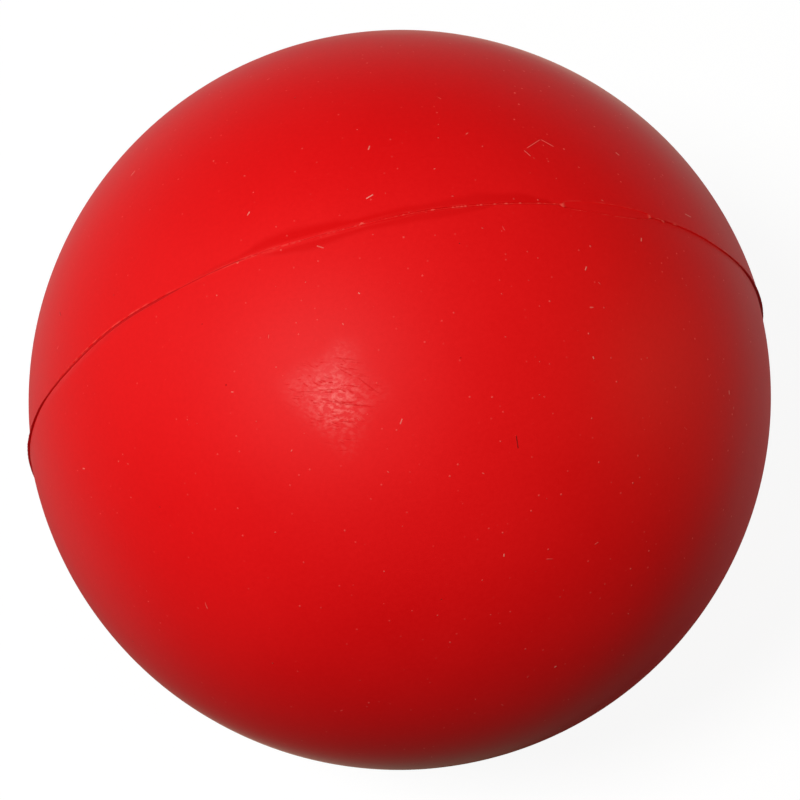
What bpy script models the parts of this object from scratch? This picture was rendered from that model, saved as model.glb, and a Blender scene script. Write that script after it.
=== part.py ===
"""Hollow rubber dog ball.

Two half shells from one mould have their rims ground flat and are bonded together at the seam.
The bonding film squeezes out as a thin fin around the outside and as a small bead around the inside.
The moulding axis lies along +Y, the seam lies in the XZ plane and the origin is the ball's centre.
"""

import math

import bmesh
import bpy

# Driving dimensions, in metres
OUTER_RADIUS = 0.0325       # moulded outer sphere of each half shell
POLE_LOSS = 0.0006          # finished ball is this much shorter along the moulding axis, from grinding the rims
WALL = 0.008                # rubber wall of each half shell
LAND_WIDTH = 0.0014         # band beside the seam that is buffed when the flash is trimmed
LAND_DEPTH = 0.00015        # how far the buffing lowers the rim's outer edge below the sphere
BOND_THICKNESS = 0.00026    # bonding film between the two rims
FIT_GAP = 0.0001            # clearance between the film and each half shell
FLASH_HEIGHT = 0.00026      # fin of squeezed-out film, proud of the sphere
FLASH_TIP = 0.00014         # thickness of the fin's outer edge
BEAD_WIDTH = 0.0018         # bead of squeezed-out film inside, measured along the moulding axis
BEAD_HEIGHT = 0.0007        # how far the bead stands into the hollow
MOULD_MISMATCH = 0.00018    # sideways step between the two half shells at the seam

# Facets
TURN_STEPS = 64             # around the moulding axis
OUTER_ARC_STEPS = 16        # pole to buffed band, outside
INNER_ARC_STEPS = 12        # rim to pole, inside
BEAD_STEPS = 6              # across the inner bead
MERGE_DISTANCE = 0.000001
SHARP_ANGLE = math.radians(30)

# Finish
SHELL_RED = (0.62, 0.010, 0.012, 1.0)
BOND_RED = (0.26, 0.004, 0.006, 1.0)
RUBBER_ROUGHNESS = 0.45
RUBBER_IOR = 1.52

# Sizes that follow from the driving dimensions
CENTRE_DROP = POLE_LOSS / 2
INNER_RADIUS = OUTER_RADIUS - WALL
RIM_HEIGHT = BOND_THICKNESS / 2 + FIT_GAP


def clear_scene():
    for leftover in list(bpy.data.objects):
        bpy.data.objects.remove(leftover, do_unlink=True)


def rubber(name, colour):
    material = bpy.data.materials.new(name)
    material.use_nodes = True
    shader = material.node_tree.nodes["Principled BSDF"]
    shader.inputs["Base Color"].default_value = colour
    shader.inputs["Roughness"].default_value = RUBBER_ROUGHNESS
    shader.inputs["Metallic"].default_value = 0.0
    shader.inputs["IOR"].default_value = RUBBER_IOR
    return material


def sphere_radius_at(sphere_radius, height):
    """Radius of a half shell's sphere at a height above the seam plane."""
    return math.sqrt(sphere_radius ** 2 - (height + CENTRE_DROP) ** 2)


def meridian(sphere_radius, first_angle, last_angle, steps):
    """Points (radius, height) along a half shell's sphere, by angle from its pole."""
    points = []
    for step in range(steps + 1):
        angle = first_angle + (last_angle - first_angle) * step / steps
        points.append((sphere_radius * math.sin(angle), sphere_radius * math.cos(angle) - CENTRE_DROP))
    return points


def half_shell_profile():
    """Outer pole, buffed band, flat rim, inner pole."""
    land_top = RIM_HEIGHT + LAND_WIDTH
    land_angle = math.acos((land_top + CENTRE_DROP) / OUTER_RADIUS)
    inner_rim_angle = math.acos((RIM_HEIGHT + CENTRE_DROP) / INNER_RADIUS)
    outer_edge = (sphere_radius_at(OUTER_RADIUS, RIM_HEIGHT) - LAND_DEPTH, RIM_HEIGHT)
    outside = meridian(OUTER_RADIUS, 0.0, land_angle, OUTER_ARC_STEPS)
    inside = meridian(INNER_RADIUS, inner_rim_angle, 0.0, INNER_ARC_STEPS)
    return outside + [outer_edge] + inside


def bond_profile():
    """Closed section of the film: outer fin, flat film, rounded inner bead."""
    film_edge = sphere_radius_at(OUTER_RADIUS, RIM_HEIGHT) - LAND_DEPTH
    fin_edge = OUTER_RADIUS + FLASH_HEIGHT
    bead_root = sphere_radius_at(INNER_RADIUS, BEAD_WIDTH / 2) - FIT_GAP - MOULD_MISMATCH / 2
    half_film = BOND_THICKNESS / 2
    upper_side = [(fin_edge, FLASH_TIP / 2), (film_edge, half_film), (bead_root, half_film)]
    lower_side = [(radius, -height) for radius, height in reversed(upper_side)]
    bead = []
    for step in range(BEAD_STEPS + 1):
        angle = math.pi * step / BEAD_STEPS
        bead.append((bead_root - BEAD_HEIGHT * math.sin(angle), BEAD_WIDTH / 2 * math.cos(angle)))
    return upper_side + bead + lower_side


def turned_mesh(name, profile, closed):
    """Solid of revolution about local Z; an open profile starts and ends on the axis."""
    bm = bmesh.new()
    points = [bm.verts.new((radius, 0.0, height)) for radius, height in profile]
    pairs = list(zip(points, points[1:]))
    if closed:
        pairs.append((points[-1], points[0]))
    edges = [bm.edges.new(pair) for pair in pairs]
    bmesh.ops.spin(
        bm, geom=points + edges, cent=(0, 0, 0), axis=(0, 0, 1), angle=math.tau, steps=TURN_STEPS, use_merge=True
    )
    bmesh.ops.remove_doubles(bm, verts=bm.verts, dist=MERGE_DISTANCE)
    bmesh.ops.recalc_face_normals(bm, faces=bm.faces)
    mesh = bpy.data.meshes.new(name)
    bm.to_mesh(mesh)
    bm.free()
    mesh.shade_smooth()
    mesh.set_sharp_from_angle(angle=SHARP_ANGLE)
    return mesh


def add_piece(name, mesh, parent):
    piece = bpy.data.objects.new(name, mesh)
    bpy.context.scene.collection.objects.link(piece)
    piece.parent = parent
    return piece


clear_scene()

# The pieces are turned about local Z, and this empty lays that axis along +Y
moulding_axis = bpy.data.objects.new("moulding_axis", None)
bpy.context.scene.collection.objects.link(moulding_axis)
moulding_axis.rotation_euler = (-math.pi / 2, 0.0, 0.0)

# Both half shells come from one mould, so they share one mesh and one rubber
half_shell = turned_mesh("half_shell", half_shell_profile(), closed=False)
half_shell.materials.append(rubber("moulded_red_rubber", SHELL_RED))

rear_half_shell = add_piece("rear_half_shell", half_shell, moulding_axis)
rear_half_shell.location.x = MOULD_MISMATCH / 2

front_half_shell = add_piece("front_half_shell", half_shell, moulding_axis)
front_half_shell.rotation_euler.x = math.pi
front_half_shell.location.x = -MOULD_MISMATCH / 2

# The film fills the joint between the two rims
seam_bond = add_piece("seam_bond", turned_mesh("seam_bond", bond_profile(), closed=True), moulding_axis)
seam_bond.data.materials.append(rubber("bonding_rubber", BOND_RED))
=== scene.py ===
"""Looks of a hollow red rubber dog ball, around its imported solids.

The two half shells come first, then the bond that joins them, then the card, the camera and the light.
"""

import math

import bmesh
import bpy
import numpy as np
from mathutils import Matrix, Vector, noise


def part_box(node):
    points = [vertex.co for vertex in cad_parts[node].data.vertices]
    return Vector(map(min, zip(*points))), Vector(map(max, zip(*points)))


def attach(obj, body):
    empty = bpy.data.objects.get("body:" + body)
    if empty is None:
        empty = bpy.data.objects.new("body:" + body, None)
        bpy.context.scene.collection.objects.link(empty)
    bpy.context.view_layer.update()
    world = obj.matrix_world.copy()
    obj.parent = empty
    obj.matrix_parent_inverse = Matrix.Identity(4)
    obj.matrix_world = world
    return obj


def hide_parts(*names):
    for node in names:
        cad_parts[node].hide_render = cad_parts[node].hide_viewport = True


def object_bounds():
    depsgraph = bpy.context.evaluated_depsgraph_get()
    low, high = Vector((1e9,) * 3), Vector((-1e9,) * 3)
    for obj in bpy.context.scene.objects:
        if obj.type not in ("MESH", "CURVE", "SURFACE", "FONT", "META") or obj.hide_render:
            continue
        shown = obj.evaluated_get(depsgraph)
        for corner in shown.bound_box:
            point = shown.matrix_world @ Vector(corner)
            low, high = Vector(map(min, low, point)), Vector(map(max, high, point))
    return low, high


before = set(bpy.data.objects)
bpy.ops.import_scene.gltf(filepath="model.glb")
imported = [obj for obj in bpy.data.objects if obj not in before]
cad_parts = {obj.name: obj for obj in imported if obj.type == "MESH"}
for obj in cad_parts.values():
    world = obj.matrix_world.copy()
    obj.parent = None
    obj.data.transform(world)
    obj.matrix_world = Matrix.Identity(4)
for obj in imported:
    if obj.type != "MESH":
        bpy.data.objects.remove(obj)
cad_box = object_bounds()


# Half shells
# Two like halves of red natural rubber, pressed in a mould, ground flat at the rim and bonded rim to rim.
# What squeezed out was trimmed by hand, which buffed the pale bloom off the rubber in bands beside the seam.

MM = 0.001
rear_low, rear_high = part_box("rear_half_shell")
front_low, front_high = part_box("front_half_shell")
BALL_RADIUS = 32.5 * MM
WALL = 8.0 * MM
CENTRE_DROP = BALL_RADIUS - rear_high.y         # each half's sphere is centred this far past the seam plane
REAR_SHIFT = (rear_low.x + rear_high.x) / 2     # the halves met a little out of line in the press
FRONT_SHIFT = (front_low.x + front_high.x) / 2
OUTER_ROWS = 100
INNER_ROWS = 20
ROW_CROWDING = 1.8                              # rows crowd towards the seam, where the fine forms are
COLUMN_LIMITS = ((12 * MM, 960), (28 * MM, 480), (42 * MM, 240))    # fewer columns further from the seam
POLE_COLUMNS = 120
INNER_COLUMNS = 240
SHELL_SHARP = 40                                # degrees between faces from which an edge stays sharp


def lumps(points, size, seed):
    """Smooth noise from -1 to 1 at each point, with lumps of the given size."""
    shift = Vector((17.3, 5.1, 9.7)) * seed
    return np.array([noise.noise(Vector(point) / size + shift) for point in points])


def ease(start, end, value):
    """Rises smoothly from 0 at the start to 1 at the end."""
    part = np.clip((value - start) / (end - start), 0, 1)
    return part * part * (3 - 2 * part)


# Angles round the seam are in degrees, from the +X end of the seam over the top of the ball. A stretch of
# the seam is given by its middle and half its span.
STRIP_HALF = 0.045 * MM                         # half the bond's width where it shows at the seam
STRIP_WIDENING = 0.44 * MM
STRIPS = ((58.5, 8.2), (243.0, 9.0))            # where the bond is ground down to a wide strip
TIGHT = ((37.0, 15.0), (300.0, 14.0))           # where the rims meet closely and the bond hardly shows
TIGHT_SHARE = 0.85                              # share by which they close over the bond there
GROOVES = ((141.0, 19.0), (205.0, 16.0), (322.0, 14.0))     # where the bond lies sunk between the rims
GROOVE_RUNOUT = 0.45                            # a lower value makes a groove end more suddenly
GROOVE_WIDENING = 0.075 * MM
EASED = ((146.0, 26.0), (212.0, 20.0))          # where the front rim stood proud and was ground down
EASE_DEPTH = 0.14 * MM
EASE_WIDTH = 0.90 * MM
FIN_LEFT_AT = -8.0                              # the fin was left standing here and opposite
FIN_FALL = 4                                    # a higher power makes those two stretches shorter
RIM_ROUND_LEFT = 0.11 * MM                      # rounding of the rims' edges where the fin was left
RIM_ROUND_TRIMMED = 0.04 * MM                   # and where it was trimmed
FLUSH_SHARE = 0.8                               # share of it that is gone in strips and tight stretches
SEAM_WAVES = (                                  # height, waves per turn and phase, fitted to the photograph
    (0.096 * MM, 5, 2.3), (0.065 * MM, 4, 1.6), (0.043 * MM, 16, 1.7),
    (0.042 * MM, 9, 1.1), (0.035 * MM, 12, -2.6),
)
WAVE_REACH = 3 * MM                             # the seam's waves die out over this distance from the rim
STRIP_REACH = 0.8 * MM                          # and so does the room that the rims leave for the bond


def stretch(turn, middle, half_span):
    """1 at the middle of a stretch of the seam, falling to 0 at its ends."""
    away = (np.degrees(turn) - middle + 180) % 360 - 180
    return np.clip(1 - (away / half_span) ** 2, 0, 1)


def seam_wander(turn):
    """How far the seam strays from its plane, along the moulding axis."""
    return sum(height * np.sin(waves * turn + phase) for height, waves, phase in SEAM_WAVES)


def rims_closed(turn):
    """Share by which the rims have closed over the bond."""
    return TIGHT_SHARE * sum(np.sqrt(stretch(turn, *part)) for part in TIGHT)


def grooved(turn):
    """1 where the bond lies sunk between the rims."""
    return sum(ease(0.0, GROOVE_RUNOUT, stretch(turn, *part)) for part in GROOVES)


def strip_half(turn):
    """Half the width of the bond where it shows at the surface."""
    half = STRIP_HALF * (1 - rims_closed(turn))
    half += STRIP_WIDENING * sum(np.sqrt(stretch(turn, *part)) for part in STRIPS)
    return half + GROOVE_WIDENING * grooved(turn)


def fin_left(turn):
    """1 where the squeezed-out fin was left standing, 0 where it was trimmed off."""
    return ((np.cos(2 * (turn - math.radians(FIN_LEFT_AT))) + 1) / 2) ** FIN_FALL


def front_eased(turn):
    """How far the front rim was ground down at its edge."""
    return EASE_DEPTH * sum(stretch(turn, *part) for part in EASED)


def rim_round(turn):
    """Rounding of the rims' outer edges, which is nearly gone where the seam is ground flush."""
    rounding = RIM_ROUND_TRIMMED + (RIM_ROUND_LEFT - RIM_ROUND_TRIMMED) * fin_left(turn)
    flush = np.clip(sum(np.sqrt(stretch(turn, *part)) for part in STRIPS + TIGHT), 0, 1)
    return rounding * (1 - FLUSH_SHARE * flush)


REAR_BANDS = (                                  # stretch and width of each buffed band
    (90.0, 22.0, 0.75 * MM), (105.0, 8.5, 0.8 * MM), (113.0, 12.0, 0.45 * MM), (75.6, 8.5, 0.8 * MM),
    (262.0, 26.0, 1.2 * MM), (318.0, 14.0, 0.8 * MM),
)
FRONT_BANDS = (
    (102.5, 8.0, 0.95 * MM), (87.0, 11.0, 0.75 * MM), (95.0, 24.0, 0.25 * MM),
    (250.0, 22.0, 0.9 * MM), (335.0, 12.0, 0.5 * MM),
)
BAND_LEAST = 0.02 * MM                          # stands for the width where there is no band
BAND_STRAYING = 0.14                            # share of its width by which a band's edge strays
BAND_STRAY_SIZE = 1.6 * MM
BAND_STRAY_SEED = 3
BAND_EDGE = (0.55, 1.1)                         # the buffing fades between these shares of the width
BAND_START = (0.05 * MM, 0.35 * MM)             # and comes in as the band widens between these
BAND_LIFT = 0.02 * MM                           # the buffed bands stand this much proud at the rim
BAND_LIFT_START = 0.4 * MM                      # once they are this wide
UNEVENNESS = ((0.030 * MM, 22 * MM), (0.010 * MM, 7 * MM))      # height and size of the moulding's lumps
UNEVENNESS_SEED = 5
RIDGES = ((104.0, 13.0), (285.0, 16.0))         # where a ridge beside the seam kept its bloom
RIDGE_HALF = (0.14 * MM, 0.38 * MM)             # it ends between these distances from the seam
RIDGE_SHARE = 0.85                              # share of the buffing that it was spared
REAR_EDGES = (                                  # stretch, strength and width of each scraped rim edge, paler partly from scraping, partly as a painted highlight on the edge
    (140.0, 16.0, 0.65, 0.14 * MM), (26.0, 22.0, 0.55, 0.22 * MM), (58.5, 8.5, 0.30, 0.10 * MM),
    (232.0, 20.0, 0.6, 0.14 * MM),
)
FRONT_EDGES = (
    (58.5, 8.5, 0.35, 0.10 * MM), (112.0, 7.0, 0.4, 0.10 * MM), (300.0, 18.0, 0.6, 0.14 * MM),
)
EDGE_FADE = 0.4                                 # a scrape and its painted edge highlight fade from this share of its width
EDGE_BREAKS = (-0.15, 0.35)                     # noise values from no scrape to a full one, its painted edge highlight with it
EDGE_BREAK_SIZE = 0.5 * MM
EDGE_BREAK_SEED = 8
FILED = ((111.0, 15.0), (90.0, 16.0), (262.0, 24.0))    # where fine file marks run along the seam
FILED_WIDTH = (0.08 * MM, 0.28 * MM)            # they thin out between these distances from the seam
SCUFFS = (                                      # direction from the ball's centre, and radius
    (Vector((-0.235, -0.396, 0.888)), 5.0 * MM),
    (Vector((0.75, 0.60, 0.28)), 5.0 * MM),
    (Vector((-0.62, -0.70, -0.35)), 6.0 * MM),
    (Vector((0.15, 0.93, -0.33)), 5.5 * MM),
    (Vector((0.74, -0.62, -0.26)), 4.5 * MM),
)
SCUFF_CORE = 0.1                                # a rubbed patch fades from this share of its radius
SCUFF_STRAYING = 0.52
SCUFF_STRAY_SIZE = 2.8 * MM
SCUFF_STRAY_SEED = 11


def rim_forms(points, turn, along, side, width, ragged):
    """How far a ring of the moulded sphere is lifted, at a distance along the surface from the rim."""
    lift = BAND_LIFT * np.clip(1 - along / ragged, 0, 1) * ease(0, BAND_LIFT_START, width)
    for height, size in UNEVENNESS:
        lift += height * lumps(points, size, side + UNEVENNESS_SEED)
    rounding = rim_round(turn)
    short = np.clip(rounding - along, 0, None)
    lift -= rounding - np.sqrt(rounding ** 2 - short ** 2)
    if side < 0:
        lift -= front_eased(turn) * np.clip(1 - along / EASE_WIDTH, 0, 1) ** 2
    return lift


def wear(points, turn, along, side, width, ragged, edges):
    """How strongly each point of a ring is marked, from 0 to 1, and its distance from the rim."""
    ridge = sum(stretch(turn, *part) for part in RIDGES) * (1 - ease(*RIDGE_HALF, along))
    rubbed = (1 - ease(*BAND_EDGE, along / ragged)) * ease(*BAND_START, width)
    # Scrapes along the rim edges; their pale colour is partly a painted highlight where an edge catches the
    # light
    scrape_highlight = np.zeros(len(turn))
    for middle, half_span, share, edge_width in edges:
        edge = share * np.sqrt(stretch(turn, middle, half_span))
        scrape_highlight = np.maximum(scrape_highlight, edge * (1 - ease(EDGE_FADE, 1.0, along / edge_width)))
    scrape_highlight *= ease(*EDGE_BREAKS, lumps(points, EDGE_BREAK_SIZE, side + EDGE_BREAK_SEED))
    scuff = np.zeros(len(turn))
    for direction, radius in SCUFFS:
        away = np.linalg.norm(points - np.array(direction.normalized()) * BALL_RADIUS, axis=1)
        away *= 1 + SCUFF_STRAYING * lumps(points, SCUFF_STRAY_SIZE, SCUFF_STRAY_SEED)
        scuff = np.maximum(scuff, 1 - ease(SCUFF_CORE, 1.0, away / radius))
    file_marks = np.clip(sum(stretch(turn, *part) for part in FILED), 0, 1)
    return {
        "buffed": rubbed * (1 - RIDGE_SHARE * ridge),
        "scrape_and_edge_highlight": scrape_highlight,
        "scuffed": scuff,
        "filed": file_marks * (1 - ease(*FILED_WIDTH, along)),
        "seam_gap": np.full(len(turn), along),
    }


def stitch(first, first_count, second, second_count):
    """Faces between two rings of points, which have equal counts, one half of the other's, or one point."""
    if first_count == 1:
        return [(first, second + k, second + (k + 1) % second_count) for k in range(second_count)]
    if second_count == 1:
        return [(first + k, second, first + (k + 1) % first_count) for k in range(first_count)]
    faces = []
    for k in range(min(first_count, second_count)):
        a_now, a_next = first + k, first + (k + 1) % first_count
        b_now, b_next = second + k, second + (k + 1) % second_count
        if first_count == second_count:
            faces.append((a_now, b_now, b_next, a_next))
        elif second_count == 2 * first_count:
            low, middle, high = (second + (2 * k + i) % second_count for i in range(3))
            faces += [(a_now, low, middle), (a_now, middle, a_next), (middle, high, a_next)]
        else:
            low, middle, high = (first + (2 * k + i) % first_count for i in range(3))
            faces += [(low, b_now, middle), (middle, b_now, b_next), (middle, b_next, high)]
    return faces


def skin(name, rings, sharp_degrees, joins_up=False, **marks):
    """Closed smooth piece over rings of points; marks are values for each point, kept on the mesh."""
    starts = np.cumsum([0] + [len(ring) for ring in rings])
    pairs = list(zip(range(len(rings) - 1), range(1, len(rings))))
    if joins_up:
        pairs.append((len(rings) - 1, 0))
    faces = []
    for i, j in pairs:
        faces += stitch(int(starts[i]), len(rings[i]), int(starts[j]), len(rings[j]))
    mesh = bpy.data.meshes.new(name)
    mesh.from_pydata(np.concatenate(rings).tolist(), [], faces)
    body = bmesh.new()
    body.from_mesh(mesh)
    inside_out = body.calc_volume(signed=True) < 0
    body.free()
    if inside_out:
        mesh.flip_normals()
    for mark, values in marks.items():
        kept = mesh.attributes.new(mark, "FLOAT", "POINT")
        kept.data.foreach_set("value", np.concatenate(values).astype(np.float32))
    mesh.shade_smooth()
    mesh.set_sharp_from_angle(angle=math.radians(sharp_degrees))
    piece = bpy.data.objects.new(name, mesh)
    bpy.context.scene.collection.objects.link(piece)
    return piece


def outward_ring(turn, angle, side):
    """Directions all round the moulding axis, at an angle from a half's pole."""
    from_axis = math.sin(angle)
    from_seam = np.full(len(turn), side * math.cos(angle))
    return np.stack((from_axis * np.cos(turn), from_seam, from_axis * np.sin(turn)), axis=1)


def half_shell(name, side, shift, bands, edges):
    """Half of the ball on one side of the seam: +1 is the rear half, -1 the front half."""
    centre = np.array((shift, -side * CENTRE_DROP, 0.0))
    rim_angle = math.acos((STRIP_HALF + CENTRE_DROP) / BALL_RADIUS)
    rings = []
    marks = {}
    for row in range(OUTER_ROWS + 1):
        along = rim_angle * BALL_RADIUS * (1 - row / OUTER_ROWS) ** ROW_CROWDING    # distance from the rim
        count = next((columns for limit, columns in COLUMN_LIMITS if along < limit), POLE_COLUMNS)
        if row == 0:
            count = 1
        turn = np.arange(count) * math.tau / count
        outward = outward_ring(turn, rim_angle - along / BALL_RADIUS, side)
        points = centre + outward * BALL_RADIUS
        width = sum(widest * stretch(turn, middle, half_span) for middle, half_span, widest in bands)
        straying = BAND_STRAYING * lumps(points, BAND_STRAY_SIZE, side + BAND_STRAY_SEED)
        ragged = np.maximum(width, BAND_LEAST) * (1 + straying)
        points = points + outward * rim_forms(points, turn, along, side, width, ragged)[:, None]
        points[:, 1] += seam_wander(turn) * math.exp(-(along / WAVE_REACH) ** 2)
        points[:, 1] += side * (strip_half(turn) - STRIP_HALF) * math.exp(-(along / STRIP_REACH) ** 2)
        rings.append(points)
        for mark, values in wear(points, turn, along, side, width, ragged, edges).items():
            marks.setdefault(mark, []).append(values)
    rim = rings[-1]
    inner_radius = BALL_RADIUS - WALL
    inner_rim_angle = math.acos((STRIP_HALF + CENTRE_DROP) / inner_radius)
    for row in range(INNER_ROWS + 1):
        count = INNER_COLUMNS if row < INNER_ROWS else 1
        turn = np.arange(count) * math.tau / count
        points = centre + inner_radius * outward_ring(turn, inner_rim_angle * (1 - row / INNER_ROWS), side)
        if row == 0:
            rings.append((rim[::2] + np.repeat(points, 2, axis=0)) / 2)     # midway across the flat rim
        rings.append(points)
    for ring in rings[OUTER_ROWS + 1:]:
        for values in marks.values():
            values.append(np.zeros(len(ring)))
    return skin(name, rings, SHELL_SHARP, **marks)


def linear(colour):
    """Linear RGBA of an sRGB hex colour."""
    parts = [int(colour[i:i + 2], 16) / 255 for i in (1, 3, 5)]
    return [part / 12.92 if part <= 0.04045 else ((part + 0.055) / 1.055) ** 2.4 for part in parts] + [1.0]


def add(tree, kind, inputs=None, **settings):
    """Adds a node with its settings; an input given as a socket is linked, any other is set."""
    made = tree.nodes.new(kind)
    for name, value in settings.items():
        setattr(made, name, value)
    for name, value in (inputs or {}).items():
        if isinstance(value, bpy.types.NodeSocket):
            tree.links.new(value, made.inputs[name])
        else:
            made.inputs[name].default_value = value
    return made


# Moulded natural rubber with a thin, dry bloom: a deep saturated red with a broad satin highlight, which
# greys towards the outline, where the bloom is seen at a low angle. Dust and short lint cling to it.
RUBBER_RED = "#D60508"
BLOOMED_RED = "#DF0D0F"
BUFFED_RED = "#D30507"
# The scrape colour is partly a painted edge highlight; the file marks use it as real pale lines
SCRAPE_AND_HIGHLIGHT_RED = "#EC5C51"
# The rubbed patch's pale blotches are a painted highlight, broken up
GLINT_RED = "#F4716A"
# The creases' darker red is painted shade in them
CREASE_SHADE_RED = "#BC0407"
DUST = "#FF6A62"
LINT = "#F7BBA8"
HAIR = "#5A0406"
BLOOM_TINT = "#FFE2C8"              # of the bloom's sheen
BLOOM_SHEEN = 0.18
BLOOM_SHEEN_ROUGHNESS = 0.22
RUBBER_IOR = 1.52
RUBBER_SPECULAR = 0.12
ROUGHNESS = (0.51, 0.61)            # from bare to bloomed
SCUFF_POLISH = 0.15                 # a rubbed patch is this much smoother
BUFF_POLISH = 0.17                  # and so is a buffed band
CREASE_ROUGHENING = 0.25
DUST_ROUGHENING = 0.3
BLOOM_SIZE = 14 * MM
GRAIN_SIZE = 0.34 * MM
GRAIN_HEIGHT = 0.003 * MM
NOISE_SPAN = (0.3, 0.7)             # most of a noise pattern lies between these values
NOISE_MEAN = (0.5, 0.5, 0.5)
BLOOM_SHARE = 0.6                   # of the paleness; the grain makes the rest
SCRAPE_HIGHLIGHT_SHARE = 0.75
FILE_MARK_LENGTH = 1.8 * MM
FILE_MARK_PITCH = 0.14 * MM
FILE_MARK_SPAN = (0.48, 0.62)       # noise values from no mark to a full one
FILE_MARK_SHARE = 0.09
FILE_MARK_HEIGHT = 0.004 * MM
GLINT_SLANT = -15
GLINT_SIZE = (0.42 * MM, 0.30 * MM, 0.30 * MM)
GLINT_SPAN = (0.43, 0.66)          # noise values from no painted glint to a full one
GLINT_SHARE = 0.56
GLINT_FALL = 2.2                   # a higher power keeps the painted glints nearer to a patch's middle
CREASES = (                         # slant in degrees, spacing along and across, and strength
    (-17, 3.2 * MM, 0.21 * MM, 0.62),
    (-45, 2.4 * MM, 0.27 * MM, 0.48),
)
CREASE_SPAN = (0.24, 0.10)          # shares of the spacing from a crease's edge to its full depth
LONE_CREASE_CORE = (0.4, 0.3)       # shares of its half length and half width that are at full strength
LONE_CREASE_AREA = (0.01, 0.12)     # these creases come in between these strengths of a rubbed patch
CREASE_HALF = 0.060 * MM
CREASE_DEPTH = 0.020 * MM
SPECK_SPACING = 0.86 * MM
SPECK_RADIUS = 0.10 * MM
SPECK_CORE = 0.5                    # share of the radius that is at full strength
SPECK_STRENGTH = 0.64
SPECK_FALL = 2.5                    # a higher power leaves fewer strong specks
DUSTY_SIDE = 25 * MM                # dust thins out from the +X side of the ball to the -X side
DUSTY_SHARES = (0.35, 1.3)          # at the -X side and at the +X side
DUST_HEIGHT = 0.05 * MM
FIBRE_BEND = 0.5 * MM
FIBRE_BEND_SIZE = 1.6 * MM
FIBRE_CORE = (0.8, 0.5)             # shares of its half length and half width that are at full strength
FIBRES = (                          # spacing, half length, half width, colour and strength
    (2.2 * MM, 0.20 * MM, 0.055 * MM, DUST, 0.52),
    (3.5 * MM, 0.36 * MM, 0.060 * MM, LINT, 0.22),
    (7.0 * MM, 1.70 * MM, 0.042 * MM, DUST, 0.40),
    (4.5 * MM, 0.08 * MM, 0.065 * MM, HAIR, 0.50),
    (8.0 * MM, 0.65 * MM, 0.050 * MM, HAIR, 0.80),
)

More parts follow.
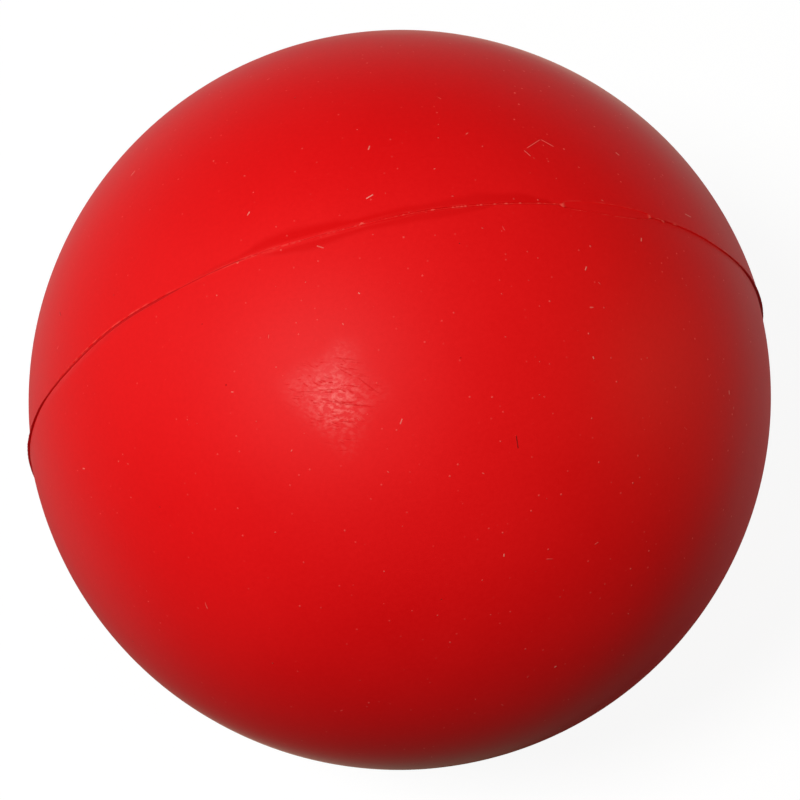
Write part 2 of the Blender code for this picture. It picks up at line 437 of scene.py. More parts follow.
# Marks that stand out are placed one by one. Their directions from the ball's centre were worked out from
# places in the photograph.
LONE_CREASES = {                    # direction, run, half length and strength
    "main": ((-0.206, -0.419, 0.885), (0.93, -0.36, 0.04), 2.3 * MM, 0.55),
    "left": ((-0.251, -0.377, 0.891), (0.93, -0.35, 0.11), 0.9 * MM, 0.40),
    "upper_slant": ((-0.196, -0.352, 0.915), (0.67, -0.73, -0.13), 0.9 * MM, 0.35),
    "right_slant": ((-0.150, -0.395, 0.907), (0.69, -0.70, -0.19), 1.4 * MM, 0.38),
    "upper": ((-0.192, -0.322, 0.927), (0.94, -0.33, 0.08), 1.0 * MM, 0.35),
    "far_left": ((-0.297, -0.369, 0.881), (0.95, -0.23, 0.23), 0.9 * MM, 0.28),
}
LONE_FIBRES = {                     # direction, run, half length, half width, colour and strength
    "lint_above_seam": ((-0.063, 0.079, 0.995), (0.92, 0.39, 0.03), 0.35 * MM, 0.062 * MM, LINT, 0.50),
    "lint_left_above_seam": ((-0.353, 0.130, 0.927), (0.64, 0.76, 0.14), 0.20 * MM, 0.058 * MM, LINT, 0.40),
    "lint_left_below_seam": ((-0.198, -0.043, 0.979), (0.81, -0.57, 0.14), 0.32 * MM, 0.062 * MM, LINT, 0.18),
    "lint_beside_scuff": ((-0.090, -0.484, 0.872), (0.51, 0.73, 0.45), 0.24 * MM, 0.060 * MM, LINT, 0.28),
    "crumb_high_up": ((-0.036, 0.226, 0.974), (0.40, 0.90, -0.20), 0.24 * MM, 0.060 * MM, LINT, 0.40),
    "crumb_above_scuff": ((-0.131, -0.182, 0.975), (0.70, -0.70, 0.00), 0.10 * MM, 0.060 * MM, LINT, 0.35),
    "hair": ((0.175, -0.561, 0.809), (-0.02, -0.82, -0.57), 0.55 * MM, 0.055 * MM, HAIR, 0.65),
    "thread_start": ((0.347, 0.164, 0.924), (0.56, -0.83, -0.06), 0.38 * MM, 0.050 * MM, DUST, 0.95),
    "thread_middle": ((0.370, 0.196, 0.908), (0.73, 0.54, -0.41), 0.95 * MM, 0.050 * MM, DUST, 0.75),
    "thread_end": ((0.407, 0.201, 0.891), (0.77, -0.60, -0.21), 0.60 * MM, 0.050 * MM, DUST, 0.95),
    "lint_upper_left": ((-0.606, 0.466, 0.645), (0.75, 0.60, 0.27), 0.28 * MM, 0.062 * MM, LINT, 0.50),
    "crumb_far_left": ((-0.854, -0.258, 0.453), (0.52, -0.51, 0.68), 0.16 * MM, 0.060 * MM, LINT, 0.40),
    "crumb_lower_middle": ((0.104, -0.768, 0.632), (0.17, 0.64, 0.75), 0.13 * MM, 0.060 * MM, LINT, 0.45),
    "crumb_low_down": ((0.209, -0.939, 0.272), (0.89, 0.30, 0.35), 0.11 * MM, 0.062 * MM, LINT, 0.75),
    "crumb_right_of_scuff": ((0.400, -0.389, 0.830), (-0.18, 0.85, 0.49), 0.12 * MM, 0.060 * MM, LINT, 0.40),
    "lint_right_below_seam": ((0.427, -0.177, 0.887), (0.51, 0.86, -0.07), 0.20 * MM, 0.060 * MM, LINT, 0.40),
    "crumb_below_seam": ((0.594, -0.080, 0.800), (0.27, 0.96, -0.11), 0.18 * MM, 0.060 * MM, LINT, 0.50),
    "crumb_above_seam": ((0.592, 0.200, 0.781), (0.67, -0.65, -0.34), 0.20 * MM, 0.060 * MM, LINT, 0.50),
    "lint_far_right": ((0.750, 0.058, 0.659), (0.66, -0.07, -0.75), 0.45 * MM, 0.055 * MM, LINT, 0.40),
    "crumb_far_right": ((0.769, -0.394, 0.504), (0.07, 0.84, 0.54), 0.18 * MM, 0.060 * MM, LINT, 0.60),
    "hair_far_left": ((-0.851, 0.184, 0.492), (-0.07, 0.89, -0.45), 0.32 * MM, 0.055 * MM, HAIR, 0.45),
}


def on_ball(outward):
    """Point of the moulded surface in a direction from the ball's centre."""
    if outward.y > 0:
        return outward * BALL_RADIUS + Vector((REAR_SHIFT, -CENTRE_DROP, 0.0))
    return outward * BALL_RADIUS + Vector((FRONT_SHIFT, CENTRE_DROP, 0.0))


moulded_rubber = bpy.data.materials.new("moulded_natural_rubber")
moulded_rubber.use_nodes = True
tree = moulded_rubber.node_tree
tree.nodes.clear()
place = add(tree, "ShaderNodeTexCoord").outputs["Object"]
buffed = add(tree, "ShaderNodeAttribute", attribute_name="buffed").outputs["Fac"]
scrape_and_edge_highlight = add(tree, "ShaderNodeAttribute", attribute_name="scrape_and_edge_highlight").outputs["Fac"]
scuffed = add(tree, "ShaderNodeAttribute", attribute_name="scuffed").outputs["Fac"]
filed = add(tree, "ShaderNodeAttribute", attribute_name="filed").outputs["Fac"]
seam_gap = add(tree, "ShaderNodeAttribute", attribute_name="seam_gap").outputs["Fac"]
across = add(tree, "ShaderNodeSeparateXYZ", {"Vector": place})

bloom = add(tree, "ShaderNodeTexNoise", {"Vector": place, "Scale": 1 / BLOOM_SIZE, "Detail": 4.0})
grain = add(tree, "ShaderNodeTexNoise", {"Vector": place, "Scale": 1 / GRAIN_SIZE, "Detail": 3.0})
bloom_part = add(tree, "ShaderNodeMapRange", {
    "Value": bloom.outputs["Fac"], "From Min": NOISE_SPAN[0], "From Max": NOISE_SPAN[1],
    "To Max": BLOOM_SHARE,
})
grain_part = add(tree, "ShaderNodeMapRange", {
    "Value": grain.outputs["Fac"], "From Min": NOISE_SPAN[0], "From Max": NOISE_SPAN[1],
    "To Max": 1 - BLOOM_SHARE,
})
paleness = add(tree, "ShaderNodeMath", {
    0: bloom_part.outputs["Result"], 1: grain_part.outputs["Result"],
}, operation="ADD")
bloomed = add(tree, "ShaderNodeMix", {
    "Factor": paleness.outputs["Value"], 6: linear(RUBBER_RED), 7: linear(BLOOMED_RED),
}, data_type="RGBA")
rubbed = add(tree, "ShaderNodeMix", {
    "Factor": buffed, 6: bloomed.outputs[2], 7: linear(BUFFED_RED),
}, data_type="RGBA")
# Pale rim edges: partly scraped rubber, partly a painted highlight where an edge catches the light
scrape_highlight_part = add(tree, "ShaderNodeMath", {0: scrape_and_edge_highlight, 1: SCRAPE_HIGHLIGHT_SHARE}, operation="MULTIPLY")
edged = add(tree, "ShaderNodeMix", {
    "Factor": scrape_highlight_part.outputs["Value"], 6: rubbed.outputs[2], 7: linear(SCRAPE_AND_HIGHLIGHT_RED),
}, data_type="RGBA")

# File marks: long fine lines beside the seam, laid out by the distance from it
beside_seam = add(tree, "ShaderNodeCombineXYZ", {
    "X": across.outputs["X"], "Y": seam_gap, "Z": across.outputs["Z"],
})
file_place = add(tree, "ShaderNodeMapping", {
    "Vector": beside_seam.outputs["Vector"],
    "Scale": (FILE_MARK_LENGTH, FILE_MARK_PITCH, FILE_MARK_LENGTH),
}, vector_type="TEXTURE")
file_lines = add(tree, "ShaderNodeTexNoise", {
    "Vector": file_place.outputs["Vector"], "Scale": 1.0, "Detail": 2.0,
})
file_near = add(tree, "ShaderNodeMapRange", {
    "Value": file_lines.outputs["Fac"], "From Min": FILE_MARK_SPAN[0], "From Max": FILE_MARK_SPAN[1],
    "To Max": FILE_MARK_SHARE,
})
file_mark = add(tree, "ShaderNodeMath", {0: file_near.outputs["Result"], 1: filed}, operation="MULTIPLY")
marked = add(tree, "ShaderNodeMix", {
    "Factor": file_mark.outputs["Value"], 6: edged.outputs[2], 7: linear(SCRAPE_AND_HIGHLIGHT_RED),
}, data_type="RGBA")

# A rubbed patch: pale blotches of painted highlight, and short creases across the ball, darkened with painted
# shade
bend = add(tree, "ShaderNodeTexNoise", {"Vector": place, "Scale": 1 / FIBRE_BEND_SIZE, "Detail": 1.0})
bent_place = add(tree, "ShaderNodeVectorMath", {
    0: bend.outputs["Color"], 1: (FIBRE_BEND, FIBRE_BEND, FIBRE_BEND), 2: place,
}, operation="MULTIPLY_ADD").outputs["Vector"]
glint_place = add(tree, "ShaderNodeMapping", {
    "Vector": bent_place, "Rotation": (0.0, 0.0, math.radians(GLINT_SLANT)), "Scale": GLINT_SIZE,
}, vector_type="TEXTURE")
glint_noise = add(tree, "ShaderNodeTexNoise", {
    "Vector": glint_place.outputs["Vector"], "Scale": 1.0, "Detail": 4.0,
})
glint_part = add(tree, "ShaderNodeMapRange", {
    "Value": glint_noise.outputs["Fac"], "From Min": GLINT_SPAN[0], "From Max": GLINT_SPAN[1],
    "To Max": GLINT_SHARE,
})
glint_core = add(tree, "ShaderNodeMath", {0: scuffed, 1: GLINT_FALL}, operation="POWER")
glint = add(tree, "ShaderNodeMath", {
    0: glint_part.outputs["Result"], 1: glint_core.outputs["Value"],
}, operation="MULTIPLY")
glinted = add(tree, "ShaderNodeMix", {
    "Factor": glint.outputs["Value"], 6: marked.outputs[2], 7: linear(GLINT_RED),
}, data_type="RGBA")
creases = []
for slant, spacing_along, spacing_across, strength in CREASES:
    crease_place = add(tree, "ShaderNodeMapping", {
        "Vector": bent_place, "Rotation": (0.0, 0.0, math.radians(slant)),
        "Scale": (spacing_along, spacing_across, spacing_across),
    }, vector_type="TEXTURE")
    crease_cells = add(tree, "ShaderNodeTexVoronoi", {
        "Vector": crease_place.outputs["Vector"], "Scale": 1.0,
    })
    crease_near = add(tree, "ShaderNodeMapRange", {
        "Value": crease_cells.outputs["Distance"], "From Min": CREASE_SPAN[0], "From Max": CREASE_SPAN[1],
        "To Max": strength,
    })
    creases.append(add(tree, "ShaderNodeMath", {
        0: crease_near.outputs["Result"], 1: scuffed,
    }, operation="MULTIPLY"))
scuff_area = add(tree, "ShaderNodeMapRange", {
    "Value": scuffed, "From Min": LONE_CREASE_AREA[0], "From Max": LONE_CREASE_AREA[1],
})
for direction, run, half_length, strength in LONE_CREASES.values():
    outward = Vector(direction).normalized()
    spot = on_ball(outward) + Vector(NOISE_MEAN) * FIBRE_BEND
    away = add(tree, "ShaderNodeVectorMath", {0: bent_place, 1: spot}, operation="SUBTRACT")
    along = add(tree, "ShaderNodeVectorMath", {
        0: away.outputs["Vector"], 1: Vector(run).normalized(),
    }, operation="DOT_PRODUCT")
    aside = add(tree, "ShaderNodeVectorMath", {
        0: away.outputs["Vector"], 1: outward.cross(Vector(run)).normalized(),
    }, operation="DOT_PRODUCT")
    reach = add(tree, "ShaderNodeMath", {0: along.outputs["Value"]}, operation="ABSOLUTE")
    offset = add(tree, "ShaderNodeMath", {0: aside.outputs["Value"]}, operation="ABSOLUTE")
    in_length = add(tree, "ShaderNodeMapRange", {
        "Value": reach.outputs["Value"],
        "From Min": half_length, "From Max": half_length * LONE_CREASE_CORE[0], "To Max": strength,
    })
    in_width = add(tree, "ShaderNodeMapRange", {
        "Value": offset.outputs["Value"],
        "From Min": CREASE_HALF, "From Max": CREASE_HALF * LONE_CREASE_CORE[1],
        "To Max": in_length.outputs["Result"],
    })
    creases.append(add(tree, "ShaderNodeMath", {
        0: in_width.outputs["Result"], 1: scuff_area.outputs["Result"],
    }, operation="MULTIPLY"))
sunken = creases[0]
for crease in creases[1:]:
    sunken = add(tree, "ShaderNodeMath", {
        0: sunken.outputs["Value"], 1: crease.outputs["Value"],
    }, operation="MAXIMUM")
# The creases are darkened with painted shade; the bump and roughness below give their real dip
crease_shaded = add(tree, "ShaderNodeMix", {
    "Factor": sunken.outputs["Value"], 6: glinted.outputs[2], 7: linear(CREASE_SHADE_RED),
}, data_type="RGBA")

# Dust specks show where the surface passes close to scattered points. Each has its own strength.
speck_cells = add(tree, "ShaderNodeTexVoronoi", {"Vector": place, "Scale": 1 / SPECK_SPACING})
speck_away = add(tree, "ShaderNodeVectorMath", {
    0: place, 1: speck_cells.outputs["Position"],
}, operation="DISTANCE")
speck_near = add(tree, "ShaderNodeMapRange", {
    "Value": speck_away.outputs["Value"], "From Min": SPECK_RADIUS, "From Max": SPECK_RADIUS * SPECK_CORE,
})
speck_chance = add(tree, "ShaderNodeSeparateColor", {"Color": speck_cells.outputs["Color"]})
speck_faded = add(tree, "ShaderNodeMath", {
    0: speck_chance.outputs["Red"], 1: SPECK_FALL,
}, operation="POWER")
dusty_part = add(tree, "ShaderNodeMapRange", {
    "Value": across.outputs["X"], "From Min": -DUSTY_SIDE, "From Max": DUSTY_SIDE,
    "To Min": SPECK_STRENGTH * DUSTY_SHARES[0], "To Max": SPECK_STRENGTH * DUSTY_SHARES[1],
})
speck = add(tree, "ShaderNodeMath", {
    0: speck_near.outputs["Result"], 1: speck_faded.outputs["Value"],
}, operation="MULTIPLY")
dust = add(tree, "ShaderNodeMath", {
    0: speck.outputs["Value"], 1: dusty_part.outputs["Result"],
}, operation="MULTIPLY")
coat = add(tree, "ShaderNodeMix", {
    "Factor": dust.outputs["Value"], 6: crease_shaded.outputs[2], 7: linear(DUST),
}, data_type="RGBA")

# Crumbs, lint, curled threads, small dark dots and dark hairs: fibres that run through scattered points, each
# with its own direction, and then those that are placed one by one
fibres = []
for spacing, half_length, half_width, colour, strength in FIBRES:
    cells = add(tree, "ShaderNodeTexVoronoi", {"Vector": bent_place, "Scale": 1 / spacing})
    away = add(tree, "ShaderNodeVectorMath", {
        0: bent_place, 1: cells.outputs["Position"],
    }, operation="SUBTRACT").outputs["Vector"]
    tilt = add(tree, "ShaderNodeVectorMath", {
        0: cells.outputs["Color"], 1: NOISE_MEAN,
    }, operation="SUBTRACT").outputs["Vector"]
    axis = add(tree, "ShaderNodeVectorMath", {0: tilt}, operation="NORMALIZE").outputs["Vector"]
    fibres.append((away, axis, half_length, half_width, colour, strength))
for direction, run, half_length, half_width, colour, strength in LONE_FIBRES.values():
    spot = on_ball(Vector(direction).normalized())
    away = add(tree, "ShaderNodeVectorMath", {0: place, 1: spot}, operation="SUBTRACT").outputs["Vector"]
    fibres.append((away, Vector(run).normalized(), half_length, half_width, colour, strength))
raised = dust
for away, axis, half_length, half_width, colour, strength in fibres:
    along = add(tree, "ShaderNodeVectorMath", {0: away, 1: axis}, operation="DOT_PRODUCT")
    beside = add(tree, "ShaderNodeVectorMath", {0: away, 1: axis}, operation="CROSS_PRODUCT")
    aside = add(tree, "ShaderNodeVectorMath", {0: beside.outputs["Vector"]}, operation="LENGTH")
    reach = add(tree, "ShaderNodeMath", {0: along.outputs["Value"]}, operation="ABSOLUTE")
    in_length = add(tree, "ShaderNodeMapRange", {
        "Value": reach.outputs["Value"],
        "From Min": half_length, "From Max": half_length * FIBRE_CORE[0], "To Max": strength,
    })
    in_width = add(tree, "ShaderNodeMapRange", {
        "Value": aside.outputs["Value"], "From Min": half_width, "From Max": half_width * FIBRE_CORE[1],
    })
    fibre = add(tree, "ShaderNodeMath", {
        0: in_length.outputs["Result"], 1: in_width.outputs["Result"],
    }, operation="MULTIPLY")
    coat = add(tree, "ShaderNodeMix", {
        "Factor": fibre.outputs["Value"], 6: coat.outputs[2], 7: linear(colour),
    }, data_type="RGBA")
    raised = add(tree, "ShaderNodeMath", {
        0: raised.outputs["Value"], 1: fibre.outputs["Value"],
    }, operation="MAXIMUM")

# Heights in metres add up to one bump
grain_height = add(tree, "ShaderNodeMath", {0: grain.outputs["Fac"], 1: GRAIN_HEIGHT}, operation="MULTIPLY")
crease_height = add(tree, "ShaderNodeMath", {
    0: sunken.outputs["Value"], 1: -CREASE_DEPTH, 2: grain_height.outputs["Value"],
}, operation="MULTIPLY_ADD")
file_height = add(tree, "ShaderNodeMath", {
    0: file_mark.outputs["Value"], 1: FILE_MARK_HEIGHT / FILE_MARK_SHARE, 2: crease_height.outputs["Value"],
}, operation="MULTIPLY_ADD")
glint_height = add(tree, "ShaderNodeMath", {
    0: glint.outputs["Value"], 1: CREASE_DEPTH, 2: file_height.outputs["Value"],
}, operation="MULTIPLY_ADD")
height = add(tree, "ShaderNodeMath", {
    0: raised.outputs["Value"], 1: DUST_HEIGHT, 2: glint_height.outputs["Value"],
}, operation="MULTIPLY_ADD")
bump = add(tree, "ShaderNodeBump", {"Height": height.outputs["Value"], "Distance": 1.0, "Strength": 1.0})

rough_bloom = add(tree, "ShaderNodeMapRange", {
    "Value": bloom.outputs["Fac"], "To Min": ROUGHNESS[0], "To Max": ROUGHNESS[1],
})
rough_scuff = add(tree, "ShaderNodeMath", {
    0: scuffed, 1: -SCUFF_POLISH, 2: rough_bloom.outputs["Result"],
}, operation="MULTIPLY_ADD")
rough_band = add(tree, "ShaderNodeMath", {
    0: buffed, 1: -BUFF_POLISH, 2: rough_scuff.outputs["Value"],
}, operation="MULTIPLY_ADD")
rough_crease = add(tree, "ShaderNodeMath", {
    0: sunken.outputs["Value"], 1: CREASE_ROUGHENING, 2: rough_band.outputs["Value"],
}, operation="MULTIPLY_ADD")
rough = add(tree, "ShaderNodeMath", {
    0: raised.outputs["Value"], 1: DUST_ROUGHENING, 2: rough_crease.outputs["Value"],
}, operation="MULTIPLY_ADD")
surface = add(tree, "ShaderNodeBsdfPrincipled", {
    "Base Color": coat.outputs[2],
    "Roughness": rough.outputs["Value"],
    "IOR": RUBBER_IOR,
    "Specular IOR Level": RUBBER_SPECULAR,
    "Sheen Weight": BLOOM_SHEEN,
    "Sheen Roughness": BLOOM_SHEEN_ROUGHNESS,
    "Sheen Tint": linear(BLOOM_TINT),
    "Normal": bump.outputs["Normal"],
})
add(tree, "ShaderNodeOutputMaterial", {"Surface": surface.outputs["BSDF"]})

for name, side, shift, bands, edges in (
    ("rear_half_shell_rubber", 1, REAR_SHIFT, REAR_BANDS, REAR_EDGES),
    ("front_half_shell_rubber", -1, FRONT_SHIFT, FRONT_BANDS, FRONT_EDGES),
):
    shell = half_shell(name, side, shift, bands, edges)
    shell.data.materials.append(moulded_rubber)
    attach(shell, "root")
    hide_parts(name.removesuffix("_rubber"))


# Seam bond
# A film of red rubber cured between the two ground rims. It squeezed out as a bead inside and as a thin fin
# outside, which was trimmed nearly flush on two stretches of the seam and left standing between them.

bond_low, bond_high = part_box("seam_bond")
BOND_COLUMNS = 1440
BOND_SHARP = 35                     # degrees between faces from which an edge stays sharp
FIN_RISE = 0.21 * MM
FIN_UNEVENNESS = 0.15               # share of its height
FIN_TIP_HALF = 0.035 * MM
FIN_LEAN = 0.05 * MM
FIN_LEAN_SIZE = 6 * MM
FIN_LEAN_SEED = 3
FIN_TRIMMED = (0.02, 0.25)          # shares of its height from fully trimmed to left standing
STRIP_RUNOUT = 0.15                 # a lower value makes a strip end more suddenly
STRIP_FILL = 0.92                   # share of the rims' gap that a strip fills at its top
GROOVE_DEPTH = 0.09 * MM
GROOVE_UNEVENNESS = 0.3             # share of its depth
CRUMB_SIZE = 0.2 * MM               # torn rubber along the trimmed stretches
CRUMB_SEED = 1
CRUMB_SPAN = (0.15, 0.55)           # noise values from no crumb to a full one
CRUMB_HEIGHT = 0.03 * MM
CRUMB_HALF = 0.025 * MM
FLAKES = (                          # angle, half span in degrees and offset of larger crumbs
    (66.3, 0.36, -0.15 * MM), (50.8, 0.30, 0.05 * MM), (49.0, 0.80, 0.06 * MM), (48.1, 0.35, -0.20 * MM),
    (45.5, 0.45, -0.03 * MM), (44.3, 0.50, 0.08 * MM), (113.5, 0.45, -0.15 * MM), (95.3, 0.40, 0.10 * MM),
    (256.0, 0.60, 0.12 * MM), (281.0, 0.50, -0.12 * MM), (221.0, 0.70, 0.06 * MM),
)
FLAKE_HEIGHT = 0.05 * MM
FLAKE_HALF = 0.035 * MM
FLAKE_TORN = 0.9
TORN_STRETCHES = ((78.0, 12.8, 0.90), (101.0, 14.0, 0.35), (275.0, 30.0, 0.6))    # stretch and strength
TORN_RUNOUT = 0.3                   # a lower value makes a torn stretch end more suddenly
TORN_SPAN = (0.12, 0.5)             # noise values from the least torn to the most
TORN_LEAST = 0.10
SHADED_STRETCHES = ((134.0, 26.0), (214.0, 22.0), (328.0, 26.0))      # where the bond is painted darker, as shade in its grooves
SHADED_RUNOUT = 0.5                   # a lower value makes such a stretch end more suddenly
SHADED_FIN = (0.01, 0.35)             # shares of the fin's height from no painted shade on the fin to full
FILM_HALF = 0.13 * MM
FILM_END = 1.2 * MM                 # the film is this thick up to here below the ball's surface
BOND_NECK = 0.25 * MM               # and has the width of the open seam from here below the rims' edges
RIM_TUCK = 0.005 * MM               # the fin springs from just below the rims' edges
CREST_DROP = 0.01 * MM              # its crest is this much rounded
BEAD_HALF = (bond_high.y - bond_low.y) / 2
BEAD_HEIGHT = 0.7 * MM
BEAD_NECK = 0.1 * MM                # the bead meets the film over this distance
BEAD_STEPS = 4

turn = np.arange(BOND_COLUMNS) * math.tau / BOND_COLUMNS
around = np.stack((np.cos(turn), np.zeros(BOND_COLUMNS), np.sin(turn)), axis=1)
standing = fin_left(turn)
trimmed = 1 - ease(*FIN_TRIMMED, standing)
crumbs = lumps(around * BALL_RADIUS, CRUMB_SIZE, CRUMB_SEED)
in_strip = ease(0.0, STRIP_RUNOUT, sum(stretch(turn, *strip) for strip in STRIPS))
crumbled = ease(*CRUMB_SPAN, crumbs) * trimmed * (1 - in_strip)
flakes = sum(stretch(turn, angle, half_span) for angle, half_span, offset in FLAKES)
flake_offset = sum(offset * stretch(turn, angle, half_span) for angle, half_span, offset in FLAKES)
half = strip_half(turn)
middle = seam_wander(turn)
rim_radius = math.sqrt(BALL_RADIUS ** 2 - (STRIP_HALF + CENTRE_DROP) ** 2)
surface_radius = {
    1: rim_radius + REAR_SHIFT * np.cos(turn),
    -1: rim_radius + FRONT_SHIFT * np.cos(turn) - front_eased(turn),
}
mismatch = np.abs(surface_radius[1] - surface_radius[-1]) / 2
fin = (mismatch + FIN_RISE * (1 + FIN_UNEVENNESS * crumbs)) * standing * (1 - rims_closed(turn))
fin += CRUMB_HEIGHT * crumbled + FLAKE_HEIGHT * flakes
fin -= GROOVE_DEPTH * grooved(turn) * (1 - GROOVE_UNEVENNESS * (1 - crumbs))
top_radius = (surface_radius[1] + surface_radius[-1]) / 2 + fin
lean = FIN_LEAN * lumps(around * BALL_RADIUS, FIN_LEAN_SIZE, FIN_LEAN_SEED) * standing + flake_offset
edge_half = FIN_TIP_HALF * (1 - rims_closed(turn)) + CRUMB_HALF * crumbled + FLAKE_HALF * flakes
tip_half = (1 - in_strip) * edge_half + in_strip * half * STRIP_FILL
bead_root = BALL_RADIUS - WALL


def bond_ring(radius, offset):
    """Ring of points at a radius, offset along the moulding axis."""
    ring = around * np.broadcast_to(radius, turn.shape)[:, None]
    ring[:, 1] = offset
    return ring


def bond_side(side):
    """Rings from the inner bead out to the fin's edge, on one side of the film."""
    rings = []
    for step in range(BEAD_STEPS + 1):
        angle = math.pi / 2 * step / BEAD_STEPS
        rings.append(bond_ring(bead_root - BEAD_HEIGHT * math.cos(angle), side * BEAD_HALF * math.sin(angle)))
    rim_edge = surface_radius[side] - rim_round(turn)
    rings.append(bond_ring(bead_root + BEAD_NECK, side * FILM_HALF))
    rings.append(bond_ring(BALL_RADIUS - FILM_END, side * FILM_HALF))
    rings.append(bond_ring(rim_edge - BOND_NECK, middle + side * half))
    rings.append(bond_ring(rim_edge - RIM_TUCK, middle + side * half))
    rings.append(bond_ring((rim_edge + top_radius) / 2, middle + lean / 2 + side * (half + tip_half) / 2))
    rings.append(bond_ring(top_radius - CREST_DROP, middle + lean + side * tip_half))
    return rings


rear_rings = bond_side(1)
front_rings = bond_side(-1)
crest = bond_ring(top_radius, middle + lean)
bond_rings = rear_rings + [crest] + front_rings[:0:-1]
torn_share = sum(
    share * ease(0.0, TORN_RUNOUT, stretch(turn, at, half_span)) for at, half_span, share in TORN_STRETCHES
)
torn_crest = torn_share * (TORN_LEAST + (1 - TORN_LEAST) * ease(*TORN_SPAN, crumbs)) * (1 - in_strip)
torn_edge = np.maximum(torn_crest, FLAKE_TORN * np.minimum(flakes, 1))
torn = [np.zeros(BOND_COLUMNS) for ring in bond_rings]
for at in (len(rear_rings) - 1, len(rear_rings), len(rear_rings) + 1):
    torn[at] = torn_edge
# The bond is painted darker, as shade, where the fin stands and in the grooves
shade_share = sum(ease(0.0, SHADED_RUNOUT, stretch(turn, *part)) for part in SHADED_STRETCHES)
deep = [np.clip(np.maximum(ease(*SHADED_FIN, standing), shade_share), 0, 1)] * len(bond_rings)
bond = skin("seam_bond_rubber", bond_rings, BOND_SHARP, joins_up=True, torn=torn, deep=deep)

# Cured bonding rubber: the shells' red where it is ground flush, a deeper dull red painted as shade where the
# fin stands or the bond lies sunk, and a paler torn edge where the fin was trimmed.
BOND_SHADE_RED = "#BE060A"
TORN_RED = "#EA5449"
BOND_ROUGHNESS = 0.58
MOTTLE_SIZE = 0.8 * MM
MOTTLE_HEIGHT = 0.01 * MM
bond_rubber = bpy.data.materials.new("cured_bonding_rubber")
bond_rubber.use_nodes = True
tree = bond_rubber.node_tree
tree.nodes.clear()
place = add(tree, "ShaderNodeTexCoord").outputs["Object"]
torn_part = add(tree, "ShaderNodeAttribute", attribute_name="torn").outputs["Fac"]
deep_part = add(tree, "ShaderNodeAttribute", attribute_name="deep").outputs["Fac"]
mottle = add(tree, "ShaderNodeTexNoise", {"Vector": place, "Scale": 1 / MOTTLE_SIZE, "Detail": 3.0})
ground = add(tree, "ShaderNodeMix", {
    "Factor": mottle.outputs["Fac"], 6: linear(RUBBER_RED), 7: linear(BLOOMED_RED),
}, data_type="RGBA")
shade_painted = add(tree, "ShaderNodeMix", {
    "Factor": deep_part, 6: ground.outputs[2], 7: linear(BOND_SHADE_RED),
}, data_type="RGBA")
edged = add(tree, "ShaderNodeMix", {
    "Factor": torn_part, 6: shade_painted.outputs[2], 7: linear(TORN_RED),
}, data_type="RGBA")
mottle_height = add(tree, "ShaderNodeMath", {
    0: mottle.outputs["Fac"], 1: MOTTLE_HEIGHT,
}, operation="MULTIPLY")
bump = add(tree, "ShaderNodeBump", {
    "Height": mottle_height.outputs["Value"], "Distance": 1.0, "Strength": 1.0,
})
surface = add(tree, "ShaderNodeBsdfPrincipled", {
    "Base Color": edged.outputs[2],
    "Roughness": BOND_ROUGHNESS,
    "IOR": RUBBER_IOR,
    "Specular IOR Level": RUBBER_SPECULAR,
    "Normal": bump.outputs["Normal"],
})
add(tree, "ShaderNodeOutputMaterial", {"Surface": surface.outputs["BSDF"]})
bond.data.materials.append(bond_rubber)
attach(bond, "root")
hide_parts("seam_bond")


# Card
# A plain sheet of matt card that the ball rests on, wide enough to fill every view. It throws back little
# light, and is lifted to white only where the camera or a reflection sees it, which keeps the ball's shadow.

CARD_HALF = 6.0
CARD_GREY = "#545454"

# The camera sees a glow that comes up with the distance from the ball's foot, from a share to the whole: a
# painted contact shadow
CARD_SEEN = 0.92
CARD_CONTACT = (0.05 * BALL_RADIUS, 0.70 * BALL_RADIUS)
CARD_CONTACT_SHARE = 0.40

# A reflection sees one that changes from the -X side to the +X side, comes up from nothing with the distance
# from the ball's foot, and fades to a share towards the camera: a painted brighter side, a painted shadow
# round the foot and painted shade on the camera's side, seen only in reflections
CARD_REFLECTED = (1.00, 0.90)
CARD_SIDE = 2.5 * BALL_RADIUS
CARD_OPEN = (0.9 * BALL_RADIUS, 2.4 * BALL_RADIUS)
CARD_NEAR = (-1.5 * BALL_RADIUS, -0.4 * BALL_RADIUS)
CARD_NEAR_SHARE = 0.05

card_mesh = bpy.data.meshes.new("card")
card_mesh.from_pydata(
    [(x * CARD_HALF, y * CARD_HALF, cad_box[0].z) for x, y in ((-1, -1), (1, -1), (1, 1), (-1, 1))],
    [], [(0, 1, 2, 3)],
)
floor = bpy.data.objects.new("card", card_mesh)
bpy.context.scene.collection.objects.link(floor)
card = bpy.data.materials.new("matt_card")
card.use_nodes = True
tree = card.node_tree
tree.nodes.clear()
path = add(tree, "ShaderNodeLightPath")
reflected = add(tree, "ShaderNodeMath", {
    0: path.outputs["Is Glossy Ray"], 1: path.outputs["Is Transmission Ray"],
}, operation="ADD", use_clamp=True)
spot = add(tree, "ShaderNodeNewGeometry").outputs["Position"]
away = add(tree, "ShaderNodeVectorMath", {0: spot, 1: (0.0, 0.0, cad_box[0].z)}, operation="DISTANCE")
painted_contact_shadow = add(tree, "ShaderNodeMapRange", {
    "Value": away.outputs["Value"], "From Min": CARD_CONTACT[0], "From Max": CARD_CONTACT[1],
    "To Min": CARD_SEEN * CARD_CONTACT_SHARE, "To Max": CARD_SEEN,
}, interpolation_type="SMOOTHSTEP")
seen = add(tree, "ShaderNodeMath", {
    0: path.outputs["Is Camera Ray"], 1: painted_contact_shadow.outputs["Result"],
}, operation="MULTIPLY")
spot_across = add(tree, "ShaderNodeSeparateXYZ", {"Vector": spot})
lit_part = add(tree, "ShaderNodeMapRange", {
    "Value": spot_across.outputs["X"], "From Min": -CARD_SIDE, "From Max": CARD_SIDE,
    "To Min": CARD_REFLECTED[0], "To Max": CARD_REFLECTED[1],
})
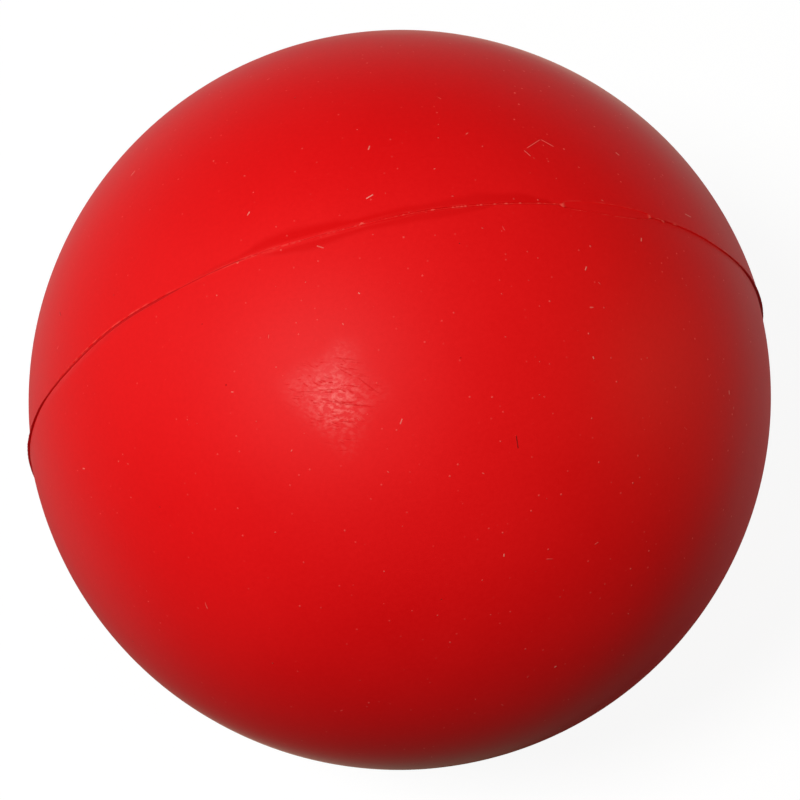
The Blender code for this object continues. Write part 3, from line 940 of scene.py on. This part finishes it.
painted_foot_shadow = add(tree, "ShaderNodeMapRange", {
    "Value": away.outputs["Value"], "From Min": CARD_OPEN[0], "From Max": CARD_OPEN[1],
    "To Max": lit_part.outputs["Result"],
}, interpolation_type="SMOOTHSTEP")
painted_camera_side_shade = add(tree, "ShaderNodeMapRange", {
    "Value": spot_across.outputs["Y"], "From Min": CARD_NEAR[0], "From Max": CARD_NEAR[1],
    "To Min": CARD_NEAR_SHARE,
}, interpolation_type="SMOOTHSTEP")
shown = add(tree, "ShaderNodeMath", {
    0: painted_foot_shadow.outputs["Result"], 1: painted_camera_side_shade.outputs["Result"],
}, operation="MULTIPLY")
lift = add(tree, "ShaderNodeMath", {
    0: reflected.outputs["Value"], 1: shown.outputs["Value"], 2: seen.outputs["Value"],
}, operation="MULTIPLY_ADD")
glow = add(tree, "ShaderNodeEmission", {"Color": linear("#FFFFFF"), "Strength": lift.outputs["Value"]})
matt = add(tree, "ShaderNodeBsdfDiffuse", {"Color": linear(CARD_GREY)})
both = add(tree, "ShaderNodeAddShader", {0: glow.outputs["Emission"], 1: matt.outputs["BSDF"]})
add(tree, "ShaderNodeOutputMaterial", {"Surface": both.outputs["Shader"]})
card.cycles.emission_sampling = "NONE"
card_mesh.materials.append(card)


# Camera
# At the photograph's viewing angle and distance: the seam plane stands upright, the camera looks down at it,
# and the lens is long enough for the ball to fill the picture.

AZIMUTH = math.radians(-11.4)
ELEVATION = math.radians(63.9)
DISTANCE = 7.78 * BALL_RADIUS
LENS = 129.5
SENSOR = 36.0
NEAREST = 0.01
FURTHEST = 20.0
back = Vector((
    math.sin(AZIMUTH) * math.cos(ELEVATION), -math.cos(AZIMUTH) * math.cos(ELEVATION), math.sin(ELEVATION),
))
camera_data = bpy.data.cameras.new("camera")
camera_data.lens = LENS
camera_data.sensor_width = SENSOR
camera_data.clip_start = NEAREST
camera_data.clip_end = FURTHEST
camera = bpy.data.objects.new("camera", camera_data)
bpy.context.scene.collection.objects.link(camera)
camera.location = back * DISTANCE
camera.rotation_mode = "QUATERNION"
camera.rotation_quaternion = (-back).to_track_quat("-Z", "Y")
bpy.context.scene.camera = camera


# Light
# A soft box up to the left of the camera makes the highlight. Wide panels overhead and at the back left fill
# in, a small and slightly warm one low on the right keeps that side from going dark, and a dim even room
# lights the rest.

LAMPS = (   # name, direction from the ball, distance, width, watts and colour
    ("key_soft_box", Vector((-0.424, -0.197, 0.884)), 0.70, 0.20, 4.66, "#FFFFFF"),
    ("overhead_panel", Vector((0.287, 0.400, 0.893)), 0.90, 0.70, 0.40, "#FFFFFF"),
    ("window_panel", Vector((-0.850, 0.320, 0.400)), 0.80, 0.70, 1.25, "#FFFFFF"),
    ("low_right_panel", Vector((0.930, -0.190, 0.230)), 0.80, 0.30, 1.30, "#FFF2C4"),
)
for name, direction, distance, width, watts, colour in LAMPS:
    lamp_data = bpy.data.lights.new(name, "AREA")
    lamp_data.shape = "DISK"
    lamp_data.size = width
    lamp_data.energy = watts
    lamp_data.color = linear(colour)[:3]
    lamp = bpy.data.objects.new(name, lamp_data)
    bpy.context.scene.collection.objects.link(lamp)
    lamp.location = direction.normalized() * distance
    lamp.rotation_mode = "QUATERNION"
    lamp.rotation_quaternion = direction.to_track_quat("Z", "Y")

ROOM_LIGHT = 0.02
ROOM_SEEN = 0.97        # added where the camera sees the room
ROOM_REFLECTED = 0.25   # added where a reflection does
room = bpy.data.worlds.new("room")
room.use_nodes = True
tree = room.node_tree
tree.nodes.clear()
path = add(tree, "ShaderNodeLightPath")
seen = add(tree, "ShaderNodeMath", {
    0: path.outputs["Is Camera Ray"], 1: ROOM_SEEN, 2: ROOM_LIGHT,
}, operation="MULTIPLY_ADD")
reflected = add(tree, "ShaderNodeMath", {
    0: path.outputs["Is Glossy Ray"], 1: path.outputs["Is Transmission Ray"],
}, operation="ADD", use_clamp=True)
glow = add(tree, "ShaderNodeMath", {
    0: reflected.outputs["Value"], 1: ROOM_REFLECTED, 2: seen.outputs["Value"],
}, operation="MULTIPLY_ADD")
air = add(tree, "ShaderNodeBackground", {"Color": linear("#FFFFFF"), "Strength": glow.outputs["Value"]})
add(tree, "ShaderNodeOutputWorld", {"Surface": air.outputs["Background"]})
bpy.context.scene.world = room
bpy.context.scene.view_settings.view_transform = "Standard"
